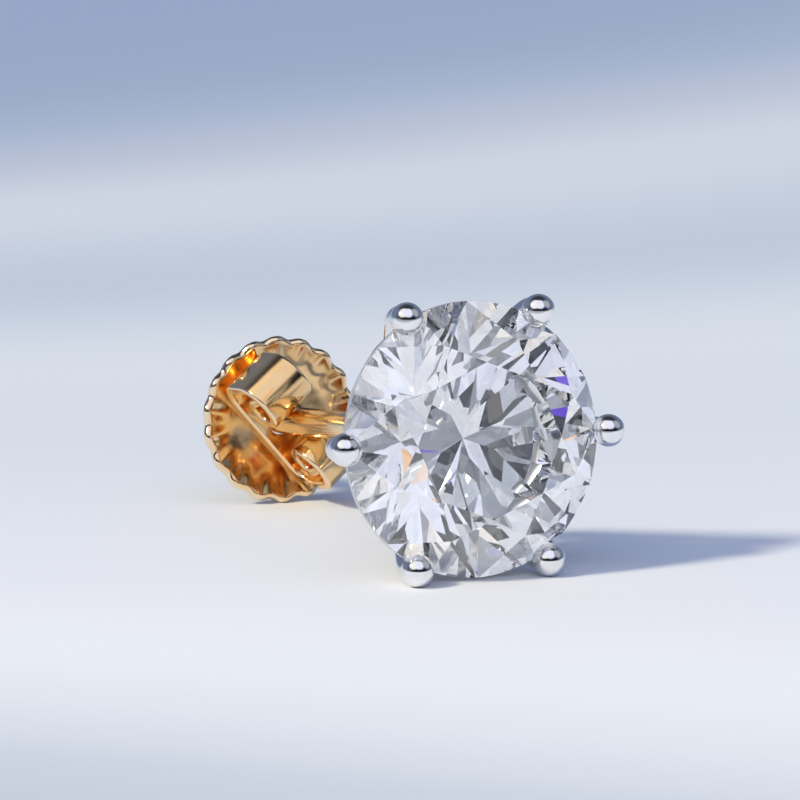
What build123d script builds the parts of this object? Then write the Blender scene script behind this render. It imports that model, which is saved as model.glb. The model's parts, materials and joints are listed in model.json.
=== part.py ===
from build123d import *
from math import asin, atan2, cos, degrees, hypot, radians, sin, tan
import os

# A six-prong solitaire stud earring with its butterfly clutch, lying on a flat surface.
#
# Every piece is modelled in the stud's own frame: Z runs along the post towards the head,
# Z = 0 is the middle of the stone's girdle, Y points up between the two upper prongs and
# X points right as the head is looked at. The finished pieces are then laid down together,
# so that the two lower prong balls and the lowest flute of the clutch touch the surface.

# --- driving dimensions, in millimetres and degrees ------------------------------------
# stone: a round brilliant
STONE_RADIUS = 3.25
GIRDLE_HEIGHT = 0.07 * STONE_RADIUS
TABLE_RADIUS = 0.57 * STONE_RADIUS
STAR_TIP_RADIUS = 0.763 * STONE_RADIUS
LOWER_TIP_RADIUS = 0.23 * STONE_RADIUS
CROWN_ANGLE = 34.5
PAVILION_ANGLE = 40.75
MAIN_FACETS = 8

# setting: six round wires in a V, with balls at their ends
PRONGS = 6
PRONG_RADIUS = 0.31
BALL_RADIUS = 0.39
BALL_RING_RADIUS = 3.4
BALL_Z = 0.42
SHOULDER_RADIUS = 3.42
SHOULDER_Z = -0.05
SHOULDER_BEND = 0.7
PRONG_FOOT_RADIUS = 0.72
PRONG_FOOT_Z = -3.7
CUP_RADIUS = 1.1
CUP_TOP_Z = -3.25
CUP_BOTTOM_Z = -3.9
CUP_ROUNDING = 0.15
GALLERY_Z = -1.7
GALLERY_WIRE_RADIUS = 0.27
SEAT_GAP = 0.02

# post: a straight pin, pegged into the cup
POST_RADIUS = 0.35
POST_TIP_Z = -13.7
SOCKET_DEPTH = 0.5
PEG_GAP = 0.02
GROOVE_FROM_TIP = 1.4
GROOVE_WIDTH = 0.6
GROOVE_DEPTH = 0.08

# clutch: a dished and fluted pad with two scrolls on the side of the head
PAD_FACE_Z = -11.45
PAD_RADIUS = 2.1
PAD_FLAT_RADIUS = 1.15
PAD_THICKNESS = 0.25
DISH_RADIUS = 1.8
FLUTES = 18
FLUTE_RADIUS = 0.27
FLUTE_DEPTH = 0.07
STRIP_WIDTH = 1.35
STRIP_THICKNESS = 0.24
SCROLL_REACH = 1.76
SCROLL_HEIGHT = 2.1
BEND_RADIUS = 0.65
CURL_RADIUS = 0.34
CURL_END_RADIUS = 0.24
CURL_END_TURN = 80
WING_ANGLE = -50
RUNNING_GAP = 0.03

# --- worked out from them ---------------------------------------------------------------
GIRDLE_TOP = GIRDLE_HEIGHT / 2
CROWN_SLOPE = tan(radians(CROWN_ANGLE))
PAVILION_SLOPE = tan(radians(PAVILION_ANGLE))
TABLE_Z = GIRDLE_TOP + (STONE_RADIUS - TABLE_RADIUS) * CROWN_SLOPE
CULET_Z = -GIRDLE_TOP - STONE_RADIUS * PAVILION_SLOPE
FACET_STEP = 360 / MAIN_FACETS
LOWEST = -90
HOLE_RADIUS = POST_RADIUS + RUNNING_GAP
RIM_CENTRE_RADIUS = PAD_RADIUS - PAD_THICKNESS / 2
DISH_ANGLE = asin((RIM_CENTRE_RADIUS - PAD_FLAT_RADIUS) / DISH_RADIUS)
RIM_CENTRE_Z = PAD_FACE_Z - PAD_THICKNESS / 2 + DISH_RADIUS * (1 - cos(DISH_ANGLE))


def around(distance, angle, height):
    """The point at a distance from the axis, at an angle about it, at a height."""
    turn = radians(angle)
    return Vector(distance * cos(turn), distance * sin(turn), height)


def crown(distance, angle, main):
    """The point at a distance and an angle on the crown facet whose middle is at main."""
    reach = distance * cos(radians(angle - main))
    return around(distance, angle, GIRDLE_TOP + (STONE_RADIUS - reach) * CROWN_SLOPE)


def pavilion(distance, angle, main):
    """The point at a distance and an angle on the pavilion facet whose middle is at main."""
    reach = distance * cos(radians(angle - main))
    return around(distance, angle, -GIRDLE_TOP - (STONE_RADIUS - reach) * PAVILION_SLOPE)


def eighth_of_facets(main):
    """Three points on each sloping facet of the eighth that starts at the angle main."""
    middle = main + FACET_STEP / 2
    after = main + FACET_STEP
    table_corner = crown(TABLE_RADIUS, main, main)
    star_tip = crown(STAR_TIP_RADIUS, middle, main)
    lower_tip = pavilion(LOWER_TIP_RADIUS, middle, main)
    culet = pavilion(0, main, main)
    facets = [
        (crown(STONE_RADIUS, main, main), star_tip, table_corner),
        (crown(TABLE_RADIUS, after, after), star_tip, table_corner),
        (pavilion(STONE_RADIUS, main, main), lower_tip, culet),
    ]
    for foot in (main, after):
        for tip, height in ((star_tip, GIRDLE_TOP), (lower_tip, -GIRDLE_TOP)):
            facets.append((tip, around(STONE_RADIUS, foot, height), around(STONE_RADIUS, middle, height)))
    return facets


def make_stone():
    """A round blank cut by every facet: the table is its top and the girdle its wall."""
    blank = Cylinder(STONE_RADIUS, TABLE_Z - CULET_Z, align=(Align.CENTER, Align.CENTER, Align.MIN))
    stone = Pos(0, 0, CULET_Z) * blank
    for eighth in range(MAIN_FACETS):
        for first, second, third in eighth_of_facets(eighth * FACET_STEP):
            outward = (second - first).cross(third - first).normalized()
            if outward.dot(first) < 0:
                outward = -outward
            stone = split(stone, bisect_by=Plane(origin=first, z_dir=outward), keep=Keep.BOTTOM)
    return stone


def make_prong():
    """One wire in the XZ plane, from the cup out to the shoulder and up to its ball."""
    path = FilletPolyline(
        (PRONG_FOOT_RADIUS, 0, PRONG_FOOT_Z),
        (SHOULDER_RADIUS, 0, SHOULDER_Z),
        (BALL_RING_RADIUS, 0, BALL_Z),
        radius=SHOULDER_BEND,
    )
    section = Plane(origin=path @ 0, z_dir=path % 0) * Circle(PRONG_RADIUS)
    return sweep(section, path=path) + Pos(BALL_RING_RADIUS, 0, BALL_Z) * Sphere(BALL_RADIUS)


def make_cup():
    """The small cup that joins the feet of the wires."""
    height = CUP_TOP_Z - CUP_BOTTOM_Z
    cup = Cylinder(CUP_RADIUS, height, align=(Align.CENTER, Align.CENTER, Align.MIN))
    return Pos(0, 0, CUP_BOTTOM_Z) * fillet(cup.edges().filter_by(GeomType.CIRCLE), CUP_ROUNDING)


def make_gallery():
    """The ring of wire that ties the prongs together behind the stone."""
    rise = (GALLERY_Z - PRONG_FOOT_Z) / (SHOULDER_Z - PRONG_FOOT_Z)
    ring_radius = PRONG_FOOT_RADIUS + rise * (SHOULDER_RADIUS - PRONG_FOOT_RADIUS)
    return Pos(0, 0, GALLERY_Z) * Torus(ring_radius, GALLERY_WIRE_RADIUS)


def make_setting(stone):
    """The soldered head, with seats cut for the stone and a socket for the post."""
    head = make_cup() + make_gallery()
    prong = make_prong()
    for place in range(PRONGS):
        head += Rot(0, 0, place * 360 / PRONGS) * prong
    seat = scale(stone, by=1 + SEAT_GAP / STONE_RADIUS)
    socket_radius = POST_RADIUS + PEG_GAP
    socket_height = SOCKET_DEPTH + PEG_GAP
    socket = Cylinder(socket_radius, socket_height, align=(Align.CENTER, Align.CENTER, Align.MIN))
    return head - seat - Pos(0, 0, CUP_BOTTOM_Z) * socket


def make_post():
    """The pin, turned from its outline: a square root, a groove and a round tip."""
    root_z = CUP_BOTTOM_Z + SOCKET_DEPTH
    groove_z = POST_TIP_Z + GROOVE_FROM_TIP
    groove_top = (POST_RADIUS, groove_z + GROOVE_WIDTH / 2)
    groove_bottom = (POST_RADIUS, groove_z - GROOVE_WIDTH / 2)
    tip_start = (POST_RADIUS, POST_TIP_Z + POST_RADIUS)
    outline = [
        Polyline((0, root_z), (POST_RADIUS, root_z), groove_top),
        ThreePointArc(groove_top, (POST_RADIUS - GROOVE_DEPTH, groove_z), groove_bottom),
        Line(groove_bottom, tip_start),
        JernArc(tip_start, (0, -1), POST_RADIUS, -90),
        Line((0, POST_TIP_Z), (0, root_z)),
    ]
    return revolve(Plane.XZ * make_face(outline), Axis.Z)


def make_pad():
    """The dished pad, turned from its outline, with a flute standing at its lowest point."""
    turn = degrees(DISH_ANGLE)
    lower_start = (PAD_FLAT_RADIUS, PAD_FACE_Z - PAD_THICKNESS)
    upper_start = (PAD_FLAT_RADIUS, PAD_FACE_Z)
    lower = JernArc(lower_start, (1, 0), DISH_RADIUS + PAD_THICKNESS / 2, turn)
    upper = JernArc(upper_start, (1, 0), DISH_RADIUS - PAD_THICKNESS / 2, turn)
    outline = [
        Polyline(upper_start, (0, PAD_FACE_Z), (0, PAD_FACE_Z - PAD_THICKNESS), lower_start),
        lower,
        JernArc(lower @ 1, lower % 1, PAD_THICKNESS / 2, 180),
        upper,
    ]
    pad = revolve(Plane.XZ * make_face(outline), Axis.Z)
    for place in range(FLUTES):
        angle = LOWEST + (place + 0.5) * 360 / FLUTES
        centre = around(PAD_RADIUS + FLUTE_RADIUS - FLUTE_DEPTH, angle, PAD_FACE_Z)
        pad -= Pos(centre) * Cylinder(FLUTE_RADIUS, SCROLL_HEIGHT)
    return pad


def make_scroll():
    """One wing: a strip that leaves the axis flat on the pad, stands up and rolls inwards."""
    half = STRIP_THICKNESS / 2
    inner = HOLE_RADIUS + half
    outer = SCROLL_REACH - half
    roll_radius = (outer - inner) / 2
    roll_height = SCROLL_HEIGHT - half - roll_radius
    flat = Line((0, half), (outer - BEND_RADIUS, half))
    bend = JernArc(flat @ 1, (1, 0), BEND_RADIUS, 90)
    rise = Line(bend @ 1, (outer, roll_height))
    roll = JernArc(rise @ 1, (0, 1), roll_radius, 180)
    curl = JernArc(roll @ 1, (0, -1), CURL_RADIUS, 180)
    curl_end = JernArc(curl @ 1, (0, 1), CURL_END_RADIUS, CURL_END_TURN)
    middle_line = Wire([part.edge() for part in (flat, bend, rise, roll, curl, curl_end)])
    profile = make_face(middle_line.offset_2d(half, kind=Kind.ARC, side=Side.BOTH))
    strip = extrude(Plane.XZ * profile, amount=STRIP_WIDTH / 2, both=True)
    return Pos(0, 0, PAD_FACE_Z) * strip


def make_clutch():
    """The pad and both scrolls as one folded sheet, with the hole for the post."""
    sheet = make_pad()
    scroll = make_scroll()
    for wing in (WING_ANGLE, WING_ANGLE + 180):
        sheet += Rot(0, 0, wing) * scroll
    return sheet - Pos(0, 0, PAD_FACE_Z) * Cylinder(HOLE_RADIUS, SCROLL_HEIGHT)


def rest_plane():
    """The stud's frame as it lies: tilted until balls and rim stand at the same height."""
    ball_drop = BALL_RING_RADIUS * cos(radians(180 / PRONGS))
    length = BALL_Z - RIM_CENTRE_Z
    drop = ball_drop - RIM_CENTRE_RADIUS
    excess = BALL_RADIUS - PAD_THICKNESS / 2
    tilt = asin(excess / hypot(length, drop)) + atan2(drop, length)
    height = BALL_RADIUS + ball_drop * cos(tilt) - BALL_Z * sin(tilt)
    return Plane(origin=(0, 0, height), x_dir=(1, 0, 0), z_dir=(0, -cos(tilt), sin(tilt)))


def main():
    """Make the four pieces, lay them down together and write each to its file."""
    stone = make_stone()
    pieces = {
        "stone": stone,
        "setting": make_setting(stone),
        "post": make_post(),
        "clutch": make_clutch(),
    }
    rest = rest_plane()
    laid = {name: rest.location * piece for name, piece in pieces.items()}
    boxes = [piece.bounding_box() for piece in laid.values()]
    middle = (min(box.min.Y for box in boxes) + max(box.max.Y for box in boxes)) / 2
    os.makedirs("parts", exist_ok=True)
    for name, piece in laid.items():
        export_step(Pos(0, -middle, 0) * piece, f"parts/{name}.step")
    print("post axis through", rest.origin - Vector(0, middle, 0), "towards the head", rest.z_dir)


main()
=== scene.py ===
# %% [markdown]
# # A six-prong stud earring with its butterfly clutch
# The earring lies on a pale table: a round brilliant in a white-metal head, a yellow-gold post
# and the folded clutch that slides on the post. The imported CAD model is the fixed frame. It says
# where each piece is, how big it is and what it moves with. Here every piece gets a fine surface,
# a finish and light.

# %% Load the frame and the libraries
import json
from math import asin, atan2, cos, hypot, pi, radians, sin, tan

import bmesh
import bpy
import numpy as np
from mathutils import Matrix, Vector


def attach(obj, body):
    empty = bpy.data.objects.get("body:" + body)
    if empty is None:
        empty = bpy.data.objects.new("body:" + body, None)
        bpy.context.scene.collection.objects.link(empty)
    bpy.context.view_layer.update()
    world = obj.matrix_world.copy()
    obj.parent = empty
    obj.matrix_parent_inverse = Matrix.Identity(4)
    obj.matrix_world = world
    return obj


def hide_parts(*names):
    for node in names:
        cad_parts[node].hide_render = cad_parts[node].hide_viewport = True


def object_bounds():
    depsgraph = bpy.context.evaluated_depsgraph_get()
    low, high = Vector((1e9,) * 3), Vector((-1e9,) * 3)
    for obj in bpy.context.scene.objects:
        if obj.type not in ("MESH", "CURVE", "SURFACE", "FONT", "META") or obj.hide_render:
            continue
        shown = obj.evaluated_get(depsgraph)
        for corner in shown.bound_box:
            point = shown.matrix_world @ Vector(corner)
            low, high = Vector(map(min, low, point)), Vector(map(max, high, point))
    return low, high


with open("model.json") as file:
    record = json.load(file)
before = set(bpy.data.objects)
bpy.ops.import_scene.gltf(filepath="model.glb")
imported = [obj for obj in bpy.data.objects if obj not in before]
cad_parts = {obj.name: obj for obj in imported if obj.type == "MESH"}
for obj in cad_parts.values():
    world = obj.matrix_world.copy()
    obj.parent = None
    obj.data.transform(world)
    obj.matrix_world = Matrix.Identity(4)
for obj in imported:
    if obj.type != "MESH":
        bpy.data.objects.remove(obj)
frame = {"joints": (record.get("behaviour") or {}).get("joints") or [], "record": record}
cad_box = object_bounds()

# %% [markdown]
# ## The stud's own frame
# The stud lies tilted, so its shapes are simplest along its own post: z runs from the tip of the
# post to the head, with zero at the middle of the stone's girdle, and y points up between the two
# upper prongs. The sliding joint gives the direction of the post, and the mount at the end of the
# post gives a point on it. Shapes are worked out in millimetres and laid down in metres.

# %% Lay shapes down in the frame
MM = 0.001
POST_END_Z = -12.975
tip_direction = np.array(frame["joints"][0]["axis"], float)
stud_z = -tip_direction / np.linalg.norm(tip_direction)
stud_x = np.array([1.0, 0.0, 0.0])
stud_y = np.cross(stud_z, stud_x)
stud_turn = np.stack([stud_x, stud_y, stud_z])
post_end = np.array(frame["record"]["mounts"][0]["pos_m"], float)
stud_origin = post_end - POST_END_Z * MM * stud_z


def lay_down(points):
    """Turn points by the stud's three directions, in metres, and move them to its place."""
    return points * MM @ stud_turn + stud_origin


print("girdle middle at", stud_origin.round(6), "head towards", stud_z.round(4))

# %% [markdown]
# ## From numbers to meshes
# Most pieces here are a skin: a grid of points with one row for each station along the piece and
# one column for each point round it. Neighbouring points make the faces. Where a row shrinks to a
# point the skin is closed with a pole. Building all points at once with numpy keeps the formula of
# a shape in one place. Each point can also carry how much it is rubbed, and below zero how much
# painted shade its hollow gets, because the formula of a shape knows best where its edges and
# hollows are.

# %% Make a mesh from points and faces
SAME_POINT = 1e-6


def place_in_scene(name, data):
    """A new object that holds a mesh, a lamp or a camera, linked to the scene."""
    made = bpy.data.objects.new(name, data)
    bpy.context.scene.collection.objects.link(made)
    return made


def link_mesh(name, points, faces, rubbed=None):
    """Put points and faces into a new mesh, with its doubles merged and its faces turned outwards,
    and link an object that holds it. A number for each point, from -1 in a hollow, which gets
    painted shade, to 1 on a rubbed edge, is kept at the faces' corners, where a Boolean keeps it."""
    mesh = bpy.data.meshes.new(name)
    mesh.from_pydata(np.asarray(points, float).tolist(), [], [list(face) for face in faces])
    if rubbed is not None:
        corner_points = np.empty(len(mesh.loops), np.int32)
        mesh.loops.foreach_get("vertex_index", corner_points)
        # kept as the rubbing; below zero it paints shade into the colour of hollows
        kept = mesh.attributes.new("rubbed", "FLOAT", "CORNER")
        kept.data.foreach_set("value", np.asarray(rubbed, float)[corner_points])
    work = bmesh.new()
    work.from_mesh(mesh)
    bmesh.ops.remove_doubles(work, verts=work.verts, dist=SAME_POINT)
    bmesh.ops.recalc_face_normals(work, faces=work.faces)
    work.to_mesh(mesh)
    work.free()
    return place_in_scene(name, mesh)


# %% Make a skin from a grid of points


def skin_faces(rows, columns, first=0, closed_rows=False):
    """The four corners of each face between neighbours of a grid whose columns go all round."""
    row = np.arange(rows if closed_rows else rows - 1)[:, None]
    column = np.arange(columns)[None, :]
    after_row, after_column = (row + 1) % rows, (column + 1) % columns
    corners = [row * columns + column, row * columns + after_column]
    corners += [after_row * columns + after_column, after_row * columns + column]
    return first + np.stack([c.ravel() for c in np.broadcast_arrays(*corners)], 1)


def skin(name, grids, closed_rows=False, rubbed=0.0):
    """One object from grids of the same shape, (grids, rows, columns, 3), with its rubbing and
    painted shade.
    """
    grids = np.asarray(grids, float)
    count, rows, columns = grids.shape[:3]
    faces = [skin_faces(rows, columns, n * rows * columns, closed_rows) for n in range(count)]
    rubbed = np.clip(np.broadcast_to(rubbed, grids.shape[:3]), -1, 1).ravel()
    return link_mesh(name, grids.reshape(-1, 3), np.concatenate(faces), rubbed)


# %% [markdown]
# ## Combining shapes
# Soldered metal is one solid, so its shapes are joined by a Boolean union, and seats and holes
# are cut by a difference. The work is done in millimetres, where rounding can't be seen, and
# the finished mesh is laid down once.

# %% Join and cut shapes
SMALLEST_EDGE = 1e-4


def combine(target, other, operation):
    """The target joined with, or cut by, another closed shape, which is then removed. Points
    that the cut left closer than a tenth of a micrometre are merged."""
    change = target.modifiers.new(operation, "BOOLEAN")
    change.operation, change.solver, change.object = operation, "MANIFOLD", other
    shapes = bpy.context.evaluated_depsgraph_get()
    mesh = bpy.data.meshes.new_from_object(target.evaluated_get(shapes))
    target.modifiers.clear()
    work = bmesh.new()
    work.from_mesh(mesh)
    bmesh.ops.remove_doubles(work, verts=work.verts, dist=SMALLEST_EDGE)
    bmesh.ops.dissolve_degenerate(work, edges=work.edges, dist=SMALLEST_EDGE)
    work.to_mesh(mesh)
    work.free()
    target.data = mesh
    bpy.data.objects.remove(other)
    return target


# %% [markdown]
# ## Walking along a line
# Wires and strips follow a line made of straight runs and arcs, as a jeweller bends them round
# pliers. Walking such a line in small steps gives its points and its heading everywhere. The
# surface of a wire or a sheet then lies beside the line, square to its heading.

# %% Walk along straight runs and arcs
STEP = 0.01
FEWEST_STEPS = 4


def walk(start, heading, runs):
    """Walk runs of (length, turn in degrees) in a plane. On a run the heading changes in
    proportion to the way gone, so a run with a turn is an arc. Each small step is the chord of
    its arc, in the mean heading. Returns the way gone, the points and the headings."""
    steps = [max(FEWEST_STEPS, int(length / STEP)) for length, turn in runs]
    pace = [np.full(n, length / n) for n, (length, turn) in zip(steps, runs)]
    bend = [np.full(n, radians(turn) / n) for n, (length, turn) in zip(steps, runs)]
    pace, bend = np.concatenate(pace), np.concatenate(bend)
    headings = heading + np.concatenate([[0], np.cumsum(bend)])
    chord = pace * np.sinc(bend / 2 / pi)
    middle = headings[:-1] + bend / 2
    hops = np.stack([chord * np.cos(middle), chord * np.sin(middle)], 1)
    points = np.concatenate([[[0, 0]], np.cumsum(hops, 0)]) + np.asarray(start, float)
    return np.concatenate([[0], np.cumsum(pace)]), points, headings


def read_walk(walked, way):
    """The points and headings at distances along a walked line."""
    gone, points, headings = walked
    across = np.interp(way, gone, points[:, 0])
    up = np.interp(way, gone, points[:, 1])
    return np.stack([across, up], -1), np.interp(way, gone, headings)


def beside_line(centre, heading, out):
    """How far across and how high the points lie that are a distance out from a line, on the
    left of its heading: each is the line's point plus the distance square to the heading."""
    heading = heading[:, None]
    return centre[:, :1] - out * np.sin(heading), centre[:, 1:] + out * np.cos(heading)


# %% [markdown]
# ## The stone
# A round brilliant is cut with flat facets: a table, eight stars, eight crown mains and sixteen
# upper halves above the girdle, and eight pavilion mains and sixteen lower halves below it. Its
# light comes only from flat faces at true angles, so each corner is worked out from the cut's
# proportions instead of modelled by eye. The girdle is round, so the half facets end in arcs.

# %% Proportions of the cut
STONE_RADIUS = 3.25
GIRDLE_TOP = 0.035 * STONE_RADIUS
TABLE_RADIUS = 0.57 * STONE_RADIUS
STAR_TIP_RADIUS = 0.763 * STONE_RADIUS
LOWER_TIP_RADIUS = 0.23 * STONE_RADIUS
CROWN_SLOPE = tan(radians(34.5))
PAVILION_SLOPE = tan(radians(40.75))
MAINS = 8
HALVES = 2 * MAINS
ARC_STEPS = 12
MAIN_TURN = 2 * pi / MAINS


def around(radius, angle, height):
    """Points at a radius and angles about the axis, at heights."""
    angle = np.asarray(angle, float)
    height = np.broadcast_to(height, angle.shape)
    return np.stack([radius * np.cos(angle), radius * np.sin(angle), height], -1)


# %% The corners of the facets
mains = np.arange(MAINS) * MAIN_TURN
middles = mains + MAIN_TURN / 2
half_cosine = cos(MAIN_TURN / 2)
table_z = GIRDLE_TOP + (STONE_RADIUS - TABLE_RADIUS) * CROWN_SLOPE
star_tip_z = GIRDLE_TOP + (STONE_RADIUS - STAR_TIP_RADIUS * half_cosine) * CROWN_SLOPE
lower_tip_z = -GIRDLE_TOP - (STONE_RADIUS - LOWER_TIP_RADIUS * half_cosine) * PAVILION_SLOPE
culet_z = -GIRDLE_TOP - STONE_RADIUS * PAVILION_SLOPE
table_corners = around(TABLE_RADIUS, mains, table_z)
star_tips = around(STAR_TIP_RADIUS, middles, star_tip_z)
lower_tips = around(LOWER_TIP_RADIUS, middles, lower_tip_z)
print("table at", round(table_z, 3), "culet at", round(culet_z, 3))

# %% The round edges of the girdle


def girdle_edge(tips, height):
    """The round edge of the sixteen half facets. Each half facet is the plane through its tip
    and the girdle at a main and at a middle, and the edge is where that plane meets the round
    girdle."""
    feet = around(STONE_RADIUS, np.arange(HALVES + 1) * MAIN_TURN / 2, height)
    tip = np.repeat(tips, 2, axis=0)
    normal = np.cross(feet[:-1] - tip, feet[1:] - tip)
    angle = (np.arange(HALVES)[:, None] + np.arange(ARC_STEPS) / ARC_STEPS) * MAIN_TURN / 2
    rim = around(STONE_RADIUS, angle, 0.0)
    flat = ((rim - tip[:, None]) * normal[:, None])[..., :2].sum(-1)
    rim[..., 2] = tip[:, None, 2] - flat / normal[:, None, 2]
    return rim.reshape(-1, 3)


upper_edge = girdle_edge(star_tips, GIRDLE_TOP)
lower_edge = girdle_edge(lower_tips, -GIRDLE_TOP)
print("girdle is", (upper_edge - lower_edge)[:, 2].min().round(3), "mm thick at its thinnest")

# %% Facets as faces, and the stone


def facet_faces():
    """The corner numbers of every facet, and those of the girdle's narrow faces. The points are
    numbered in this order: table corners, star tips, lower tips, culet and both girdle edges."""
    rim = HALVES * ARC_STEPS
    table, star, lower, culet = 0, MAINS, 2 * MAINS, 3 * MAINS
    upper_rim = culet + 1
    lower_rim = upper_rim + rim
    faces = [list(range(MAINS))]
    for i in range(MAINS):
        before, after, half = (i - 1) % MAINS, (i + 1) % MAINS, 2 * i * ARC_STEPS
        faces.append([table + i, star + i, table + after])
        faces.append([table + i, star + before, upper_rim + half, star + i])
        faces.append([culet, lower + before, lower_rim + half, lower + i])
    for h in range(HALVES):
        arc = [(h * ARC_STEPS + k) % rim for k in range(ARC_STEPS + 1)]
        faces.append([star + h // 2] + [upper_rim + k for k in arc])
        faces.append([lower + h // 2] + [lower_rim + k for k in arc])
    girdle = [[lower_rim + k, lower_rim + (k + 1) % rim, upper_rim + (k + 1) % rim, upper_rim + k]
              for k in range(rim)]
    return faces, girdle


def make_stone(name, growth=1.0):
    """The cut stone, or the same stone grown a little to cut its seats."""
    corners = [table_corners, star_tips, lower_tips, [[0, 0, culet_z]], upper_edge, lower_edge]
    facets, girdle = facet_faces()
    print(name, len(facets), "facets")
    return link_mesh(name, np.concatenate(corners) * growth, facets + girdle)


stone = make_stone("brilliant")

# %% [markdown]
# ## The head
# Six round wires stand in a V. Each rises from the cup, bends up at the girdle and ends in
# a ball that was melted and pushed over the stone. A wire is a circle carried along its line, and
# the circle's radius swells into the ball, so wire and ball are one skin with a soft neck.

# %% Measures of the head
PRONGS = 6
WIRE_RADIUS = 0.31
BALL_RADIUS = 0.39
FOOT = np.array([0.72, -3.7])
SHOULDER = np.array([3.42, -0.05])
BALL = np.array([3.4, 0.42])
SHOULDER_BEND = 0.7
NECK_BLEND = 0.07
SEAT_GAP = 0.02
GALLERY_Z = -1.7
print("head is", round(2 * (BALL[0] + BALL_RADIUS), 3), "mm across its balls")

# %% The line of one wire
leg = SHOULDER - FOOT
neck = BALL - SHOULDER
leg_heading, neck_heading = atan2(leg[1], leg[0]), atan2(neck[1], neck[0])
shoulder_turn = neck_heading - leg_heading
cut_back = SHOULDER_BEND * tan(shoulder_turn / 2)
wire_runs = [
    (hypot(*leg) - cut_back, 0),
    (SHOULDER_BEND * shoulder_turn, shoulder_turn * 180 / pi),
    (hypot(*neck) - cut_back, 0),
    (BALL_RADIUS, 0),
]
wire_line = walk(FOOT, leg_heading, wire_runs)
ball_way = sum(length for length, turn in wire_runs[:3])
ring_way = (GALLERY_Z - FOOT[1]) / sin(leg_heading)
print("along a wire the ring is at", round(ring_way, 3), "and the ball at", round(ball_way, 3))

# %% Circles, bells and soft corners


def all_round(count):
    """Evenly spaced angles all the way round, without the last one, which is the first again."""
    return np.linspace(0, 2 * pi, count, endpoint=False)


def bell(value, middle, width):
    """A bell curve: 1 at the middle, falling to about a third a width away."""
    return np.exp(-(((value - middle) / width) ** 2))


def soft_max(first, second, blend):
    """The larger of two values, rounded off where they are closer than the blend."""
    near = np.clip(1 - np.abs(first - second) / blend, 0, None)
    return np.maximum(first, second) + near**2 * blend / 4


def wire_radius(way):
    """The wire's radius, swollen to the ball's circle near its end."""
    ball = np.sqrt(np.clip(BALL_RADIUS**2 - (way - ball_way) ** 2, 0, None))
    return np.where(way > ball_way, ball, soft_max(WIRE_RADIUS + 0 * way, ball, NECK_BLEND))


# %% Six wires with their balls
LEG_STATIONS, NECK_STATIONS, BALL_STATIONS = 40, 8, 34
WIRE_COLUMNS = 56
# how far before the ball's middle the leg's stations end, and the neck's start and end
LEG_ENDS, NECK_STARTS, NECK_ENDS = 0.7, 0.68, 0.42
BALL_STARTS = -1.4


def make_prongs():
    """Six skins: circles across the line, from a point inside the cup to the ball's pole. The
    stations stand closer at the neck, and at even angles round the ball. The balls are rubbed, and
    the wire is rougher and has painted shade where it leaves the cup and on both sides of the
    gallery ring."""
    stations = np.concatenate([
        [0.0],
        np.linspace(0, ball_way - LEG_ENDS, LEG_STATIONS),
        np.linspace(ball_way - NECK_STARTS, ball_way - NECK_ENDS, NECK_STATIONS),
        ball_way + BALL_RADIUS * np.sin(np.linspace(BALL_STARTS, pi / 2, BALL_STATIONS)),
    ])
    centre, heading = read_walk(wire_line, stations)
    radius = wire_radius(stations)
    radius[0] = 0
    turn = all_round(WIRE_COLUMNS)
    side = radius[:, None] * np.sin(turn)
    across, up = beside_line(centre, heading, radius[:, None] * np.cos(turn))
    on_ball = bell(stations, ball_way + BALL_RADIUS, 0.5)
    at_cup = bell(stations, 0.4, 0.45)
    at_ring = bell(np.abs(stations - ring_way), 0.3, 0.12)
    # the balls are rubbed; at the cup and at the gallery ring the wire gets painted shade
    rubbed = 0.8 * on_ball - 0.9 * at_cup - 0.8 * at_ring
    place = all_round(PRONGS)[:, None, None]
    grids = [across * np.cos(place) - side * np.sin(place)]
    grids += [across * np.sin(place) + side * np.cos(place), up + 0 * place]
    return skin("prongs", np.stack(grids, -1), rubbed=rubbed[:, None])


# %% [markdown]
# ## Gallery ring and cup
# A ring of wire ties the prongs together behind the stone, and a small cup holds their feet and
# the post. The ring is a circle carried round a circle. Hard solder draws into each joint, so the
# ring thickens a little where it meets a prong. The cup is turned from its outline.

# %% Gallery ring
GALLERY_WIRE_RADIUS = 0.27
SOLDER_RISE = 0.05
SOLDER_REACH = 0.2
SOLDER_HALF = 0.3
RING_STATIONS, RING_COLUMNS = 288, 40
ring_radius = FOOT[0] + (GALLERY_Z - FOOT[1]) / leg[1] * leg[0]
print("gallery ring has a radius of", round(ring_radius, 3), "mm")


def make_gallery():
    """A ring whose wire radius rises as a bell curve of the distance to the nearest prong. Its
    outer side is a little rubbed, its inner side has a little painted shade, and the foot of each
    solder joint is rougher and has painted shade."""
    place = all_round(RING_STATIONS)[:, None]
    turn = all_round(RING_COLUMNS)
    prong_turn = 2 * pi / PRONGS
    to_prong = np.abs((place / prong_turn + 0.5) % 1 - 0.5) * prong_turn * ring_radius
    solder = SOLDER_RISE * bell(to_prong.clip(SOLDER_HALF), SOLDER_HALF, SOLDER_REACH)
    wire = GALLERY_WIRE_RADIUS + solder
    reach = ring_radius + wire * np.cos(turn)
    grid = [reach * np.cos(place), reach * np.sin(place), GALLERY_Z + wire * np.sin(turn)]
    # outer side rubbed; inner side and solder joints get painted shade
    rubbed = 0.35 * np.cos(turn) - 0.9 * bell(to_prong, 0.32, 0.1)
    return skin("gallery", [np.stack(np.broadcast_arrays(*grid), -1)], True, rubbed)


# %% Turned pieces and their rounded corners


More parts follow.
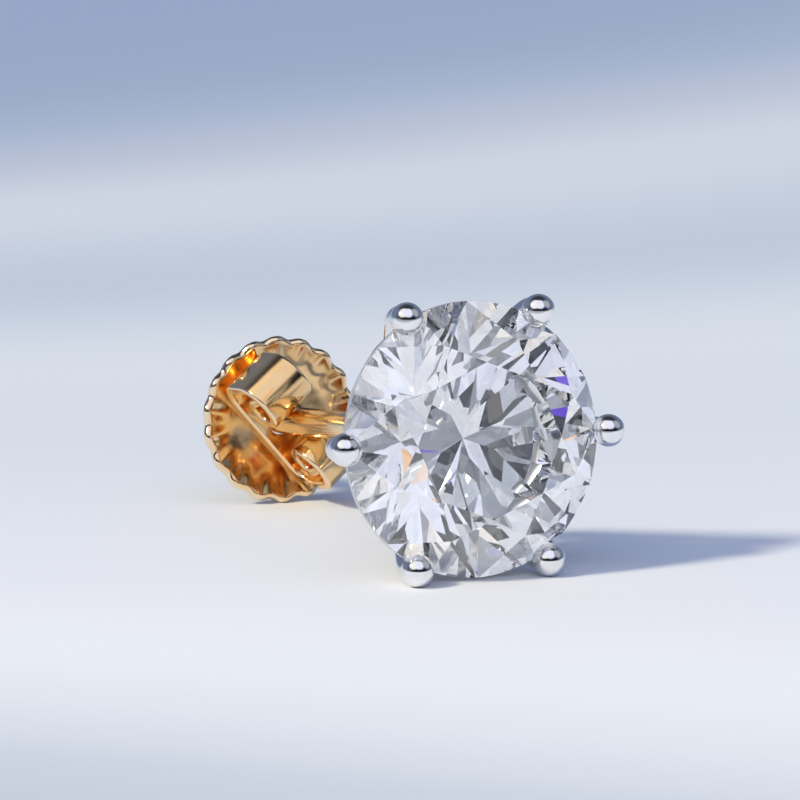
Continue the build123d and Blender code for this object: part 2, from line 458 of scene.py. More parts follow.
def turned(name, outline, rubbed=0.0, columns=96):
    """A turned piece: an outline of (radius, height) carried round the axis, closed at poles, with
    a rubbing for each point of the outline, which below zero paints shade."""
    outline = np.asarray(outline, float)
    rubbed = np.broadcast_to(rubbed, len(outline))[:, None]
    place = all_round(columns)
    grid = [outline[:, :1] * np.cos(place), outline[:, :1] * np.sin(place)]
    grid.append(np.repeat(outline[:, 1:], columns, 1))
    return skin(name, [np.stack(grid, -1)], rubbed=rubbed)


def rounded(start, corner, end, steps=8):
    """Points on a curve from start to end that bends round the corner (a quadratic Bezier)."""
    t = np.linspace(0, 1, steps)[:, None]
    start, corner, end = (np.array([p], float) for p in (start, corner, end))
    return (1 - t) ** 2 * start + 2 * t * (1 - t) * corner + t**2 * end


# %% Cup with the socket for the post
CUP_RADIUS = 1.1
CUP_TOP_Z = -3.25
CUP_BOTTOM_Z = -3.9
HOLLOW_Z = CUP_TOP_Z - 0.04
HOLLOW_FLAT, HOLLOW_BEND, HOLLOW_RADIUS = 0.4, 0.75, 0.85
TOP_EDGE, BOTTOM_EDGE = 0.15, 0.2
COLLAR_RADIUS, COLLAR_BEND, COLLAR_WALL = 0.62, 0.46, 0.03
COLLAR_Z = CUP_BOTTOM_Z - 0.15
SOCKET_RADIUS = 0.37
SOCKET_TOP_Z = -3.38
# radius, and how rubbed the cup is there; below zero its hollow gets painted shade
CUP_WEAR_AND_SHADE = [(0.35, -0.9), (0.6, -0.2), (HOLLOW_RADIUS, -0.4), (1.0, 0.8), (CUP_RADIUS, 0.1)]


def make_cup():
    """The cup's outline from the axis at its top: a shallow hollow, the top edge, the bottom
    edge, a collar that runs out on the post, and the socket."""
    wall, top, floor = CUP_RADIUS, CUP_TOP_Z, CUP_BOTTOM_Z
    outline = np.concatenate([
        [[0, HOLLOW_Z]],
        rounded((HOLLOW_FLAT, HOLLOW_Z), (HOLLOW_BEND, HOLLOW_Z), (HOLLOW_RADIUS, top)),
        rounded((wall - TOP_EDGE, top), (wall, top), (wall, top - TOP_EDGE)),
        rounded((wall, floor + BOTTOM_EDGE), (wall, floor), (wall - BOTTOM_EDGE, floor)),
        rounded((COLLAR_RADIUS, floor), (COLLAR_BEND, floor),
                (SOCKET_RADIUS + COLLAR_WALL, COLLAR_Z - 0.01)),
        [[SOCKET_RADIUS, COLLAR_Z], [SOCKET_RADIUS, SOCKET_TOP_Z], [0, SOCKET_TOP_Z]],
    ])
    radii, amounts = zip(*CUP_WEAR_AND_SHADE)
    return turned("cup", outline, np.interp(outline[:, 0], radii, amounts))


# %% Solder the head together and cut the stone's seat
head = combine(make_prongs(), make_gallery(), "UNION")
head = combine(head, make_cup(), "UNION")
head = combine(head, make_stone("seat_cutter", 1 + SEAT_GAP / STONE_RADIUS), "DIFFERENCE")
head.name = "prong_head"
print("head has", len(head.data.vertices), "points")

# %% [markdown]
# ## The post
# The post is a straight pin with a round tip. A shallow groove near the tip gives the clutch a
# place to stop. It was turned from wire, so its outline is carried round the axis. The clutch rubs
# the tip and the shoulders of the groove, and the groove and the root are rougher and have painted
# shade.

# %% Post
POST_RADIUS = 0.35
POST_TOP_Z = -3.4
POST_TIP_Z = -13.7
ROOT_EDGE = 0.05
GROOVE_Z = -12.3
GROOVE_HALF = 0.3
GROOVE_DEPTH = 0.08
GROOVE_SHOULDER = 0.02
SHAFT_STATIONS, GROOVE_STATIONS, TIP_STATIONS = 60, 25, 20


def make_post():
    """The outline from the root to the round tip, with the groove as a shallow arc. The arc's
    radius follows from its half width and its depth."""
    arc_radius = (GROOVE_HALF**2 + GROOVE_DEPTH**2) / (2 * GROOVE_DEPTH)
    along_groove = np.linspace(GROOVE_HALF, -GROOVE_HALF, GROOVE_STATIONS)
    groove = POST_RADIUS - GROOVE_DEPTH + arc_radius - np.sqrt(arc_radius**2 - along_groove**2)
    tip_turn = np.linspace(0, pi / 2, TIP_STATIONS)
    tip = np.stack([np.cos(tip_turn), -np.sin(tip_turn)], 1) * POST_RADIUS
    tip[:, 1] += POST_TIP_Z + POST_RADIUS
    tip[-1, 0] = 0
    shaft_end = GROOVE_Z + GROOVE_HALF + GROOVE_SHOULDER
    shaft = np.linspace(POST_TOP_Z - ROOT_EDGE, shaft_end, SHAFT_STATIONS)
    outline = np.concatenate([
        [[0, POST_TOP_Z], [POST_RADIUS - ROOT_EDGE, POST_TOP_Z]],
        np.stack([np.full(SHAFT_STATIONS, POST_RADIUS), shaft], 1),
        np.stack([groove, GROOVE_Z + along_groove], 1),
        [[POST_RADIUS, GROOVE_Z - GROOVE_HALF - GROOVE_SHOULDER]],
        tip,
    ])
    height = outline[:, 1]
    at_shoulders = bell(np.abs(height - GROOVE_Z), GROOVE_HALF, 0.06)
    in_groove = bell(height, GROOVE_Z, 0.12)
    at_tip = bell(height, POST_TIP_Z, 0.2)
    at_root = bell(height, COLLAR_Z, 0.25)
    # the tip and the groove's shoulders are rubbed; the groove and the root get painted shade
    rubbed = 0.6 * at_shoulders - 0.8 * in_groove + 0.6 * at_tip - 0.8 * at_root
    return turned("post_pin", outline, rubbed, columns=72)


post = make_post()
print("post has", len(post.data.vertices), "points")

# %% [markdown]
# ## The clutch
# The clutch is stamped from one sheet. Its pad is dished towards the head and pressed into
# flutes at the rim. Two wings of a strip stand up from the pad and roll inwards until they
# press on the post. The pad is an outline carried round the axis whose radius and height ripple
# with the angle. The strip is a rounded section carried along its line.

# %% Measures of the clutch
PAD_FACE_Z = -11.45
PAD_THICKNESS = 0.25
PAD_FLAT_RADIUS = 1.15
PAD_RADIUS = 2.1
DISH_RADIUS = 1.8
FLUTES = 18
FLUTE_DEPTH = 0.08
FLUTE_WAVE = 0.04
FLUTE_START = 1.3
FLUTE_SHARPNESS = 1.5
HOLE_RADIUS = 0.38
STRIP_WIDTH = 1.35
SCROLL_REACH = 1.76
WING_ANGLE = radians(-50)
print("pad is", 2 * PAD_RADIUS, "mm across, with", FLUTES, "flutes")

# %% Section of the pad
PAD_STATIONS, PAD_COLUMNS = 44, 432
edge_turn = np.linspace(0, pi, 14)[1:-1]


def half_round(middle, start, radius):
    """A half circle without its ends, clockwise round a middle from a starting direction."""
    turn = start - edge_turn
    return middle + radius * np.stack([np.cos(turn), np.sin(turn)], 1)


def pad_section():
    """The pad's middle line, flat and then an arc, offset by half the sheet to both sides and
    closed by a half round at the rim and at the hole. Returns the section, the side that each
    of its points is on, 1 towards the head, and how far out it is on a cut edge."""
    half = PAD_THICKNESS / 2
    dish_turn = asin((PAD_RADIUS - half - PAD_FLAT_RADIUS) / DISH_RADIUS)
    start = (HOLE_RADIUS + half, PAD_FACE_Z - half)
    runs = [(PAD_FLAT_RADIUS - start[0], 0), (DISH_RADIUS * dish_turn, dish_turn * 180 / pi)]
    line = walk(start, 0, runs)
    way = np.linspace(0, line[0][-1], PAD_STATIONS)
    centre, heading = read_walk(line, way)
    top = np.hstack(beside_line(centre, heading, half))
    bottom = np.hstack(beside_line(centre, heading, -half))
    rim = half_round(centre[-1], heading[-1] + pi / 2, half)
    hole = half_round(centre[0], -pi / 2, half)
    side = np.concatenate([0 * way + 1, 0 * edge_turn, 0 * way - 1, 0 * edge_turn])
    edge = np.concatenate([0 * way, np.sin(edge_turn), 0 * way, 0.6 * np.sin(edge_turn)])
    return np.concatenate([top, rim, bottom[::-1], hole]), side, edge


# %% Pad with its flutes


def make_pad():
    """The section carried round the axis. Going round, the rim's radius is cut back between flutes
    and its height rises and falls as a cosine. The cut edges and the flutes' crests are rubbed,
    and their valleys and the line beside the strip are rougher and have painted shade."""
    section, side, edge = pad_section()
    place = all_round(PAD_COLUMNS)[:, None]
    ripple = np.cos(FLUTES * (place + pi / 2))
    ramp = np.clip((section[:, 0] - FLUTE_START) / (PAD_RADIUS - FLUTE_START), 0, 1)
    ramp = ramp**2 * (3 - 2 * ramp)
    reach = section[:, 0] - FLUTE_DEPTH * ramp * ((1 - ripple) / 2) ** FLUTE_SHARPNESS
    height = section[:, 1] + FLUTE_WAVE * ramp * ripple
    grid = [reach * np.cos(place), reach * np.sin(place), height]
    off_strip = np.abs(reach * np.sin(place - WING_ANGLE))
    # painted shade along the line where the strip stands on the pad
    shade_beside_strip = (side > 0) * (reach < SCROLL_REACH) * bell(off_strip, STRIP_WIDTH / 2, 0.09)
    # rubbed cut edges and crests; painted shade in the flutes' valleys and beside the strip
    rubbed = edge + 0.8 * side * ramp * ripple - 0.9 * shade_beside_strip
    return skin("pad", [np.stack(grid, -1)], True, rubbed)


# %% The strip's line and its section
STRIP_THICKNESS = 0.24
STRIP_CORNER = 0.08
SCROLL_HEIGHT = 2.1
BEND_RADIUS = 0.65
CURL_RADIUS = 0.34
CURL_END_RADIUS = 0.24
CURL_END_TURN = 80
FOOT_SINK = 0.01


def strip_line():
    """The line of one wing from the axis: flat, a bend, a rise and three tightening rolls."""
    half = STRIP_THICKNESS / 2
    inner, outer = HOLE_RADIUS + half, SCROLL_REACH - half
    roll_radius = (outer - inner) / 2
    runs = [
        (outer - BEND_RADIUS, 0),
        (BEND_RADIUS * pi / 2, 90),
        (SCROLL_HEIGHT - half - roll_radius - half - BEND_RADIUS, 0),
        (roll_radius * pi, 180),
        (CURL_RADIUS * pi, 180),
        (CURL_END_RADIUS * radians(CURL_END_TURN), CURL_END_TURN),
    ]
    return walk((0, half - FOOT_SINK), 0, runs)


def rounded_section(half_width, half_height, corner, steps=7):
    """The outline of a rectangle with round corners: four quarter circles and flats between."""
    turn = np.linspace(0, pi / 2, steps)
    quarter = np.stack([np.cos(turn), np.sin(turn)], 1) * corner
    sides = []
    for across, up, first in ((1, 1, 0), (-1, 1, 1), (-1, -1, 2), (1, -1, 3)):
        c, s = round(cos(first * pi / 2)), round(sin(first * pi / 2))
        bent = quarter @ np.array([[c, s], [-s, c]])
        sides.append(bent + [across * (half_width - corner), up * (half_height - corner)])
    return np.concatenate(sides)


wing_line = strip_line()
wing_length = wing_line[0][-1]
print("each wing of the strip is", round(wing_length, 3), "mm long")

# %% Strip with both scrolls
WING_STATIONS, WING_END_STATIONS = 120, 16
# how long before its end a wing has closer stations, narrows and thins
CLOSER_FOR, NARROWS_FOR, THINS_FOR = 0.5, 0.45, 0.12
CLOSER_START = 0.02
# the last part of a wing that is rolled inside, and how far its painted shade takes to build up
INSIDE_FOR, SHADE_BUILDS_OVER = 1.9, 0.8


def round_end(left, reach):
    """A quarter circle: 0 with nothing left before an end, and 1 from a reach before it."""
    return np.sqrt(np.clip(1 - (1 - np.clip(left / reach, 0, 1)) ** 2, 0, None))


def both_wings(values, mirror=1):
    """Values along one wing from the axis outwards, with the other wing's put before them."""
    return np.concatenate([values[:0:-1] * mirror, values])


def make_strip():
    """The rounded section carried from the end of one scroll, under the axis, to the other. It
    narrows to a round end in its last half millimetre. Its corners are rubbed, and the inner
    rolls, which no cloth reaches, are rougher and have painted shade."""
    closer = CLOSER_FOR * np.cos(np.linspace(CLOSER_START, pi / 2, WING_END_STATIONS))
    even = np.linspace(0, wing_length - CLOSER_FOR, WING_STATIONS)
    way = np.concatenate([even, wing_length - closer])
    left = wing_length - way
    centre, heading = read_walk(wing_line, way)
    centre, heading = both_wings(centre, [-1, 1]), both_wings(heading, -1)
    narrow = both_wings(round_end(left, NARROWS_FOR))[:, None]
    thin = both_wings(round_end(left, THINS_FOR))[:, None]
    # painted shade on the rolled-in end of each wing, building up over a length
    inside = both_wings(np.clip((INSIDE_FOR - left) / SHADE_BUILDS_OVER, 0, 1))[:, None]
    section = rounded_section(STRIP_WIDTH / 2, STRIP_THICKNESS / 2, STRIP_CORNER)
    side = section[:, 0] * narrow
    along, up = beside_line(centre, heading, section[:, 1] * thin)
    c, s = cos(WING_ANGLE), sin(WING_ANGLE)
    grid = [along * c - side * s, along * s + side * c, up + PAD_FACE_Z]
    corner = np.tile(np.sin(np.linspace(0, pi, len(section) // 4)), 4)
    return skin("strip", [np.stack(grid, -1)], rubbed=corner - 0.7 * inside)


# %% Hole for the post, and the whole clutch
HOLE_FLARE = 0.25
CUTTER_BELOW = 0.3
CUTTER_ABOVE = 0.03


def make_hole_cutter():
    """A turned cutter that flares at both faces of the sheet, so the hole's edge is broken. The
    wall that it cuts is a little rubbed."""
    low, high = PAD_FACE_Z - PAD_THICKNESS, PAD_FACE_Z + STRIP_THICKNESS
    hole, wide = HOLE_RADIUS, HOLE_RADIUS + HOLE_FLARE
    outline = np.concatenate([
        [[0, low - CUTTER_BELOW], [wide + 0.05, low - CUTTER_BELOW + 1e-3]],
        rounded((wide, low - 0.2), (hole, low + 0.02), (hole, low + 0.1)),
        rounded((hole, high - 0.12), (hole, high - 0.02), (hole + 0.08, high + CUTTER_ABOVE)),
        [[0, high + CUTTER_ABOVE]],
    ])
    return turned("hole_cutter", outline, 0.4, columns=72)


clutch = combine(make_pad(), make_strip(), "UNION")
clutch = combine(clutch, make_hole_cutter(), "DIFFERENCE")
clutch.name = "butterfly_clutch"
print("clutch has", len(clutch.data.vertices), "points")

# %% [markdown]
# ## Finishes
# Each finish is a small net of nodes. Patterns read Object coordinates, so they stay on the piece
# when it moves. A few helpers add the nodes, so that a finish reads as a list of what it has.

# %% Helpers that add a node and start a material


def add_node(tree, kind, inputs=(), **settings):
    """Add a node, choose its settings, and set or link its inputs from (socket, value) pairs."""
    made = tree.nodes.new("ShaderNode" + kind)
    for name, value in settings.items():
        setattr(made, name, value)
    for socket, value in dict(inputs).items():
        if isinstance(value, bpy.types.NodeSocket):
            tree.links.new(value, made.inputs[socket])
        else:
            made.inputs[socket].default_value = value
    return made


def new_material(name):
    """A material with an empty tree, its shader and its output."""
    material = bpy.data.materials.new(name)
    material.use_nodes = True
    tree = material.node_tree
    tree.nodes.clear()
    shader = add_node(tree, "BsdfPrincipled")
    add_node(tree, "OutputMaterial", {"Surface": shader.outputs["BSDF"]})
    return material, tree, shader


# %% Helpers for patterns, sums and colours


def noise(tree, place, scale, detail=3.0):
    """A soft noise from 0 to 1 on a piece, with its scale in waves per metre."""
    made = add_node(tree, "TexNoise", {"Vector": place, "Scale": scale, "Detail": detail})
    return made.outputs["Fac"]


def spread(tree, value, low, high, start=0.3, stop=0.7):
    """The value stretched from start..stop to low..high and held at the ends."""
    inputs = {"Value": value, 1: start, 2: stop, 3: low, 4: high}
    return add_node(tree, "MapRange", inputs).outputs["Result"]


def maths(tree, operation, *values):
    """One step of arithmetic with numbers or with other nodes' values."""
    return add_node(tree, "Math", dict(enumerate(values)), operation=operation).outputs[0]


def reach_along(tree, vector, direction):
    """How far a vector reaches in a direction, which is the dot product of the two."""
    made = add_node(tree, "VectorMath", {0: vector, 1: direction}, operation="DOT_PRODUCT")
    return made.outputs["Value"]


def tint(tree, value, first, second):
    """A colour between two, by the value. The first may be another node's colour. A Mix node
    has its colours at sockets 6 and 7 and gives the mixed one at 2."""
    below = first if isinstance(first, bpy.types.NodeSocket) else (*first, 1)
    made = add_node(tree, "Mix", {0: value, 6: below, 7: (*second, 1)}, data_type="RGBA")
    return made.outputs[2]


# %% [markdown]
# ## The stone's finish
# The stone is clear, almost colourless and bends light strongly, which one transmitting shader
# gives. Its facets are polished and carry only faint traces of handling. The girdle is ground
# but not polished, so it scatters light and shows as a pale line round the stone.

# %% Stone and girdle
STONE_INDEX = 2.4
SMUDGES_PER_METRE = 700.0


def make_stone_finish(name, roughness):
    """Clear and strongly refracting, with smudges that change its tint and roughness a little."""
    material, tree, shader = new_material(name)
    place = add_node(tree, "TexCoord").outputs["Object"]
    smudge = noise(tree, place, SMUDGES_PER_METRE)
    shader.inputs["Transmission Weight"].default_value = 1.0
    shader.inputs["IOR"].default_value = STONE_INDEX
    colour = tint(tree, smudge, (0.97, 0.975, 0.985), (1.0, 1.0, 1.0))
    tree.links.new(colour, shader.inputs["Base Color"])
    tree.links.new(spread(tree, smudge, *roughness), shader.inputs["Roughness"])
    return material


facet_finish = make_stone_finish("polished_facets", (0.0, 0.004))
girdle_finish = make_stone_finish("ground_girdle", (0.25, 0.4))
print("stone has", facet_finish.name, "and a", girdle_finish.name)

# %% [markdown]
# ## The metals
# Polished metal is a full mirror with a tint, and looks real only when the mirror isn't perfect.
# Its colour drifts over the piece, fine polishing lines run one way, and handwork leaves it a
# little wavy. Skin and cloth rub edges and balls brighter, while polish and skin oil collect in
# the hollows and leave them rougher, and painted shade darkens them. The rubbing kept on the mesh
# says where, and a noise makes its border uneven.

# %% Patterns on a metal
# waves per metre of each pattern
DRIFT, PATCHES, LINES, WAVES = 900.0, 5000.0, 26000.0, 3500.0
LINE_LENGTH = 25.0


def rubbed_and_shaded_places(tree, place):
    """How rubbed and how hollow a place is, each from 0 to 1: the rubbing kept on the mesh plus a
    noise, with its upper part stretched to the one and its lower part to the other. How hollow a
    place is sets its painted shade."""
    kept = add_node(tree, "Attribute", attribute_name="rubbed").outputs["Fac"]
    patchy = spread(tree, noise(tree, place, PATCHES), -0.25, 0.25)
    rubbing_and_shade = maths(tree, "ADD", kept, patchy)
    return spread(tree, rubbing_and_shade, 0.0, 1.0, 0.2, 1.0), spread(tree, rubbing_and_shade, 1.0, 0.0, -1.0, -0.2)


def polishing_lines(tree, place, turn):
    """A fine noise that is stretched along y and then turned to the piece."""
    stretched = {"Vector": place, "Rotation": turn, "Scale": (1.0, LINE_LENGTH, 1.0)}
    stretched = add_node(tree, "Mapping", stretched, vector_type="TEXTURE")
    return noise(tree, stretched.outputs["Vector"], LINES, 2.0)


# %% Colour, roughness and relief of a metal
# what a rubbed place keeps of its tint, and a hollow of its brightness under painted shade
RUBBED_TINT, HOLLOW_PAINTED_SHADE = 0.7, 0.7
# how many times rougher the drift makes it, what a hollow adds, and what a rubbed place keeps
DRIFT_ROUGHENS, HOLLOW_ROUGHNESS, RUBBED_ROUGHNESS = 1.8, 0.12, 0.6


def metal_colour(tree, light, deep, drift, rubbed, hollow):
    """The tint drifts from light to deep, whitens where it is rubbed and darkens in hollows with
    painted shade.
    """
    bright = [1 - (1 - part) * RUBBED_TINT for part in light]
    shaded_tint = [part * HOLLOW_PAINTED_SHADE for part in deep]
    colour = tint(tree, spread(tree, drift, 0.0, 1.0), light, deep)
    # painted shade: the hollows get a darker tint
    return tint(tree, hollow, tint(tree, rubbed, colour, bright), shaded_tint)


def metal_roughness(tree, polish, line_depth, drift, lines, rubbed, hollow):
    """The polish, which drifts, plus the lines, plus the hollows, times what rubbing leaves."""
    polished = spread(tree, drift, polish, polish * DRIFT_ROUGHENS)
    rough = maths(tree, "ADD", spread(tree, lines, 0.0, line_depth), polished)
    rough = maths(tree, "MULTIPLY_ADD", hollow, HOLLOW_ROUGHNESS, rough)
    smooth = spread(tree, rubbed, 1.0, RUBBED_ROUGHNESS, 0.0, 1.0)
    return maths(tree, "MULTIPLY", rough, smooth)


def metal_relief(tree, lines, waves):
    """The normal of a surface that stands a little higher with the lines and with the waves."""
    fine = add_node(tree, "Bump", {"Height": lines, "Strength": 0.12, "Distance": 2e-6})
    wavy = {"Height": waves, "Strength": 0.25, "Distance": 1.2e-5}
    wavy["Normal"] = fine.outputs["Normal"]
    return add_node(tree, "Bump", wavy).outputs["Normal"]


# %% Polished metals


def make_metal(name, light, deep, roughness, line_turn):
    """A polished metal from its light and deep tint, the roughness of its polish and the most
    that its lines add, and the turn of the lines."""
    material, tree, shader = new_material(name)
    place = add_node(tree, "TexCoord").outputs["Object"]
    drift = noise(tree, place, DRIFT)
    rubbed, hollow = rubbed_and_shaded_places(tree, place)
    lines = polishing_lines(tree, place, line_turn)
    waves = noise(tree, place, WAVES, 1.0)
    looks = {
        "Base Color": metal_colour(tree, light, deep, drift, rubbed, hollow),
        "Roughness": metal_roughness(tree, *roughness, drift, lines, rubbed, hollow),
        "Normal": metal_relief(tree, lines, waves),
    }
    for socket, value in looks.items():
        tree.links.new(value, shader.inputs[socket])
    shader.inputs["Metallic"].default_value = 1.0
    return material


# %% White gold for the head, and two yellow golds
LEVEL = (0.0, 0.0, 0.0)
ALONG_POST = (-atan2(stud_z[2], -stud_z[1]), 0.0, 0.0)
white_metal = make_metal(
    "white_gold", (0.87, 0.87, 0.88), (0.80, 0.80, 0.82), (0.035, 0.05), LEVEL)
yellow_gold = make_metal(
    "yellow_gold", (0.94, 0.67, 0.36), (0.89, 0.58, 0.27), (0.06, 0.08), ALONG_POST)
post_gold = make_metal(
    "drawn_gold", (0.95, 0.75, 0.47), (0.92, 0.70, 0.40), (0.07, 0.10), ALONG_POST)
print("metals", white_metal.name, yellow_gold.name, post_gold.name)

# %% [markdown]
# ## Pieces and bodies
# Each finished mesh is laid down in the frame, gets its finish, and takes the place of one CAD
# node. The stone, the head and the post are fixed to each other and ride on the stud. Only the
# clutch rides on its own body, because it slides. The facets stay flat with sharp edges, and all
# other surfaces are shaded smooth up to an angle.

# %% Give the pieces their place, finish and body


def finish_piece(piece, node, body, materials, sharp_angle=30):
    """Lay a piece down, shade it smooth up to an angle, and let it stand for its CAD node."""
    mesh = piece.data
    points = np.empty(len(mesh.vertices) * 3)
    mesh.vertices.foreach_get("co", points)
    mesh.vertices.foreach_set("co", lay_down(points.reshape(-1, 3)).ravel())
    mesh.polygons.foreach_set("use_smooth", np.ones(len(mesh.polygons), bool))
    mesh.set_sharp_from_angle(angle=radians(sharp_angle))
    mesh.materials.clear()
    for material in materials:
        mesh.materials.append(material)
    mesh.update()
    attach(piece, body)
    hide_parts(node)
    loose = sum(edge.is_loose for edge in mesh.edges)
    print(piece.name, len(mesh.vertices), "points,", len(mesh.polygons), "faces,", loose, "loose")


finish_piece(stone, "stone", "stud", [facet_finish, girdle_finish], 1)
finish_piece(head, "setting", "stud", [white_metal])
finish_piece(post, "post", "stud", [post_gold])
finish_piece(clutch, "clutch", "clutch", [yellow_gold])
girdle_faces = np.zeros(len(stone.data.polygons), np.int32)
girdle_faces[-HALVES * ARC_STEPS:] = 1
stone.data.polygons.foreach_set("material_index", girdle_faces)
stone.data.polygons.foreach_set("use_smooth", girdle_faces.astype(bool))

# %% [markdown]
# ## The table
# The earring lies on a pale, matt table. It is one wide disc that rises towards its edge, so that
# no hard horizon shows. Its colour is white round the earring, with painted shade that makes it
# grey close to the viewer and a cool grey-blue further off. Faint bands of painted daylight and
# shade cross it. They fan out, because their distance is stretched more on one side than on the
# other.

# %% The table's shape
TABLETOP_RADIUS = 0.85
INNERMOST_RING = 0.004
FLAT_RADIUS = 0.3
EDGE_RISE = 0.144
TABLE_RINGS, TABLE_COLUMNS = 80, 128


def make_table():
    """A disc of rings in metres, whose height rises with the square of the way past a flat
    middle."""
    ring = np.concatenate([[0.0], np.geomspace(INNERMOST_RING, TABLETOP_RADIUS, TABLE_RINGS)])
    ring = ring[:, None]
    place = all_round(TABLE_COLUMNS)
    height = EDGE_RISE * np.clip(ring - FLAT_RADIUS, 0, None) ** 2 + 0 * place
    return skin("table", [np.stack([ring * np.cos(place), ring * np.sin(place), height], -1)])


table = make_table()
print("table rises", round(table.data.vertices[-1].co.z, 3), "m at its edge")

# %% The table's tone, with painted daylight and shade
FAR_SIDE = (0.415, 0.91, 0.0)
RIGHT_SIDE = (0.91, -0.415, 0.0)
NEAREST, FARTHEST = -0.12, 0.15
LEFT_STRETCH, RIGHT_STRETCH = 1.5, 0.5
STRETCH_HALF_WIDTH = 0.05
WAVE_HEIGHT = 0.005
# waves per metre
SLOW_WAVE, GRAIN = 9.0, 2500.0
# the way from nearest to farthest, and the tone there, which holds painted daylight and shade
TONES_WITH_PAINTED_LIGHT = [
    (0.0, (0.30, 0.32, 0.37)),
    (0.26, (0.42, 0.46, 0.53)),
    (0.354, (0.63, 0.67, 0.745)),
    (0.386, (0.83, 0.85, 0.885)),
    (0.42, (0.80, 0.815, 0.875)),
    (0.49, (0.70, 0.735, 0.80)),
    (0.555, (0.69, 0.73, 0.795)),
    (0.615, (0.54, 0.60, 0.70)),
    (0.70, (0.645, 0.685, 0.76)),
    (0.75, (0.55, 0.595, 0.695)),
    (0.80, (0.43, 0.495, 0.635)),
    (0.86, (0.35, 0.42, 0.58)),
    (1.0, (0.32, 0.39, 0.565)),
]


def make_table_finish_and_painted_light():
    """Matt, with a faint grain. The tone, with its painted daylight and shade, is read by the
    distance towards the far side, times a stretch that falls from left to right, plus a slow wave."""
    material, tree, shader = new_material("pale_table")
    place = add_node(tree, "TexCoord").outputs["Object"]
    depth = reach_along(tree, place, FAR_SIDE)
    across = reach_along(tree, place, RIGHT_SIDE)
    fan = spread(
        tree, across, LEFT_STRETCH, RIGHT_STRETCH, -STRETCH_HALF_WIDTH, STRETCH_HALF_WIDTH)
    wave = spread(tree, noise(tree, place, SLOW_WAVE, 1.0), -WAVE_HEIGHT, WAVE_HEIGHT)
    wavy = maths(tree, "MULTIPLY_ADD", depth, fan, wave)
    # painted daylight and shade: a colour ramp along the way towards the far side
    ramp = add_node(tree, "ValToRGB", {"Fac": spread(tree, wavy, 0.0, 1.0, NEAREST, FARTHEST)})
    ramp.color_ramp.interpolation = "CARDINAL"
    stops = ramp.color_ramp.elements
    while len(stops) < len(TONES_WITH_PAINTED_LIGHT):
        stops.new(0.5)
    for stop, (position, tone) in zip(stops, TONES_WITH_PAINTED_LIGHT):
        stop.position, stop.color = position, (*tone, 1)
    grain = noise(tree, place, GRAIN)
    tree.links.new(ramp.outputs["Color"], shader.inputs["Base Color"])
    tree.links.new(spread(tree, grain, 0.75, 0.9), shader.inputs["Roughness"])
    shader.inputs["Specular IOR Level"].default_value = 0.2
    bump = add_node(tree, "Bump", {"Height": grain, "Strength": 0.15, "Distance": 4e-5})
    tree.links.new(bump.outputs["Normal"], shader.inputs["Normal"])
    return material


table.data.materials.append(make_table_finish_and_painted_light())
table.data.polygons.foreach_set("use_smooth", np.ones(len(table.data.polygons), bool))
print("table has", len(TONES_WITH_PAINTED_LIGHT), "tones")

# %% [markdown]
# ## Light
# A warm, slightly soft sun stands at the left and throws the shadow to the right. A second lamp,
# very wide and blue, fills the shade on the table. It is kept out of reflections and out of the
# stone, where such a broad blue light would only grey them over.

# %% Key light and sky fill
KEY_DIRECTION = (-0.993, -0.122, tan(radians(39)))


def make_sun(name, energy, blur, colour):
    """A sun lamp that shines straight down, with its light spread over an angle in degrees."""
    lamp = bpy.data.lights.new(name, "SUN")
    lamp.energy, lamp.angle, lamp.color = energy, radians(blur), colour
    return place_in_scene(name, lamp)


key_light = make_sun("key_light", energy=2.9, blur=9, colour=(1.0, 0.91, 0.66))
key_light.rotation_euler = Vector(KEY_DIRECTION).to_track_quat("Z", "Y").to_euler()
sky_fill = make_sun("sky_fill", energy=0.6, blur=170, colour=(0.12, 0.40, 1.0))
sky_fill.visible_glossy = False
sky_fill.visible_transmission = False
print("lamps", key_light.name, "and", sky_fill.name)

# %% [markdown]
# ## The room
# Polished metal and a cut stone show only what is round them, and need both light and dark to
# reflect. The room is dark overhead, with a paler band at the horizon, a paler low sky behind
# the earring, a broad window at the left and in front, whose halves are warm and cool, and
# a smaller window at the right. The dark shape of who stands in front gives the balls their dark
# line and the stone its contrast. A real brilliant splits white light into colours. Here two
# small coloured patches stand in for that: single facets pick them up as violet and orange
# flashes.

# %% What is in the room
WALLS = (0.04, 0.045, 0.06)
LOW_SKY = (0.16, 0.20, 0.30)
HORIZON = (0.23, 0.26, 0.33)
WHO_STANDS_IN_FRONT = (0.01, 0.01, 0.012)
# the sine of the elevation up to which the horizon's band is full, and from which it is gone
HORIZON_FULL, HORIZON_GONE = 0.04, 0.2
# the elevations in degrees up to which a low thing is full, and from which it is gone
LOW_SKY_TOP = (38, 62)
SHAPE_TOP = (13, 20)
# in degrees: azimuth, elevation, full within, gone beyond
BEHIND = (165, 0, 70, 115)
IN_FRONT = (-15, 2, 40, 65)
# colour, and the same four columns
WINDOWS = [
    ((1.02, 0.97, 0.93), -62, 48, 22, 38),
    ((0.89, 0.93, 1.10), -12, 50, 22, 38),
    ((0.40, 0.42, 0.46), 55, 38, 14, 30),
    ((0.17, 0.06, 0.80), 22, 26, 3, 6),
    ((1.05, 0.66, 0.36), -8, 30, 2, 5),
]
world = bpy.data.worlds.new("pale_room")
bpy.context.scene.world = world
world.use_nodes = True
room = world.node_tree
room.nodes.clear()
print(world.name, "has", len(WINDOWS), "windows and coloured patches")

# %% Directions and patches


def unit(azimuth, elevation):
    """The direction at an azimuth and an elevation in degrees. Azimuth 0 is in front of the
    stone, and it grows towards the right."""
    a, e = radians(azimuth), radians(elevation)
    return (sin(a) * cos(e), -cos(a) * cos(e), sin(e))


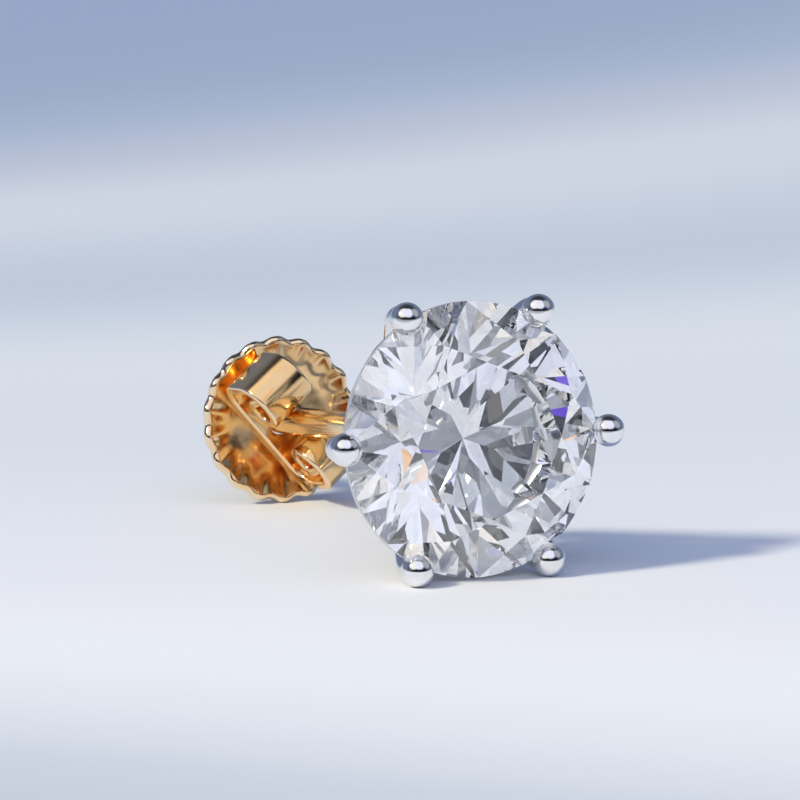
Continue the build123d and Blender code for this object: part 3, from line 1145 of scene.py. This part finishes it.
def patch(direction, azimuth, elevation, full, gone):
    """1 round an azimuth and an elevation, fading smoothly to 0 between two angles from it, by
    the cosine of the angle."""
    facing = reach_along(room, direction, unit(azimuth, elevation))
    made = spread(room, facing, 0.0, 1.0, cos(radians(gone)), cos(radians(full)))
    made.node.interpolation_type = "SMOOTHSTEP"
    return made


def below(height, full, gone):
    """1 up to an elevation in degrees, fading to 0 at a higher one, by the sine of both."""
    return spread(room, height, 1.0, 0.0, sin(radians(full)), sin(radians(gone)))


# %% Room light


def room_tone():
    """The room's colour by direction: the walls, and over them the low sky behind the earring,
    the horizon's band, the windows and patches, and the dark shape of who stands in front."""
    direction = add_node(room, "TexCoord").outputs["Generated"]
    height = add_node(room, "SeparateXYZ", {0: direction}).outputs["Z"]
    behind = patch(direction, *BEHIND)
    low_sky = maths(room, "MULTIPLY", below(height, *LOW_SKY_TOP), behind)
    tone = tint(room, low_sky, WALLS, LOW_SKY)
    band = spread(room, height, 1.0, 0.0, HORIZON_FULL, HORIZON_GONE)
    tone = tint(room, band, tone, HORIZON)
    for colour, *place in WINDOWS:
        tone = tint(room, patch(direction, *place), tone, colour)
    in_front = patch(direction, *IN_FRONT)
    shape = maths(room, "MULTIPLY", below(height, *SHAPE_TOP), in_front)
    return tint(room, shape, tone, WHO_STANDS_IN_FRONT)


background = add_node(room, "Background", {"Color": room_tone(), "Strength": 1.0})
add_node(room, "OutputWorld", {"Surface": background.outputs["Background"]})
print("room has", len(room.nodes), "nodes")

# %% [markdown]
# ## Camera
# The camera looks from the left of the stone's axis and a little above the table, with a long
# lens, so that the stone fills a third of the picture's width. It looks a little past the middle
# of the earring, which leaves room for the shadow.

# %% Camera
CAMERA_AZIMUTH, CAMERA_ELEVATION = -24.5, 9
CAMERA_DISTANCE = 0.15
PICTURE_WIDTH = 0.0195
LOOK_ASIDE = 0.0009
low, high = cad_box
back = Vector(unit(CAMERA_AZIMUTH, CAMERA_ELEVATION))
sideways = Vector((-back.y, back.x, 0)).normalized()
camera = bpy.data.cameras.new("camera")
camera.sensor_width = 36.0
camera.lens = camera.sensor_width * CAMERA_DISTANCE / PICTURE_WIDTH
camera.clip_start, camera.clip_end = 0.005, 20.0
camera_stand = place_in_scene("camera", camera)
camera_stand.location = (low + high) / 2 + sideways * LOOK_ASIDE + back * CAMERA_DISTANCE
camera_stand.rotation_euler = back.to_track_quat("Z", "Y").to_euler()
bpy.context.scene.camera = camera_stand
print("lens is", round(camera.lens, 1), "mm")

# %% [markdown]
# ## Paths of light
# Light in a brilliant is thrown from facet to facet many times before it leaves, and the scrolls
# mirror each other, so both need more bounces than usual.

# %% Light paths
scene = bpy.context.scene
scene.cycles.max_bounces = 32
scene.cycles.transmission_bounces = 28
scene.cycles.glossy_bounces = 20
scene.cycles.diffuse_bounces = 4
scene.cycles.sample_clamp_indirect = 8.0
scene.cycles.use_denoising = True
scene.view_settings.view_transform = "Standard"
print("light may bounce", scene.cycles.max_bounces, "times")
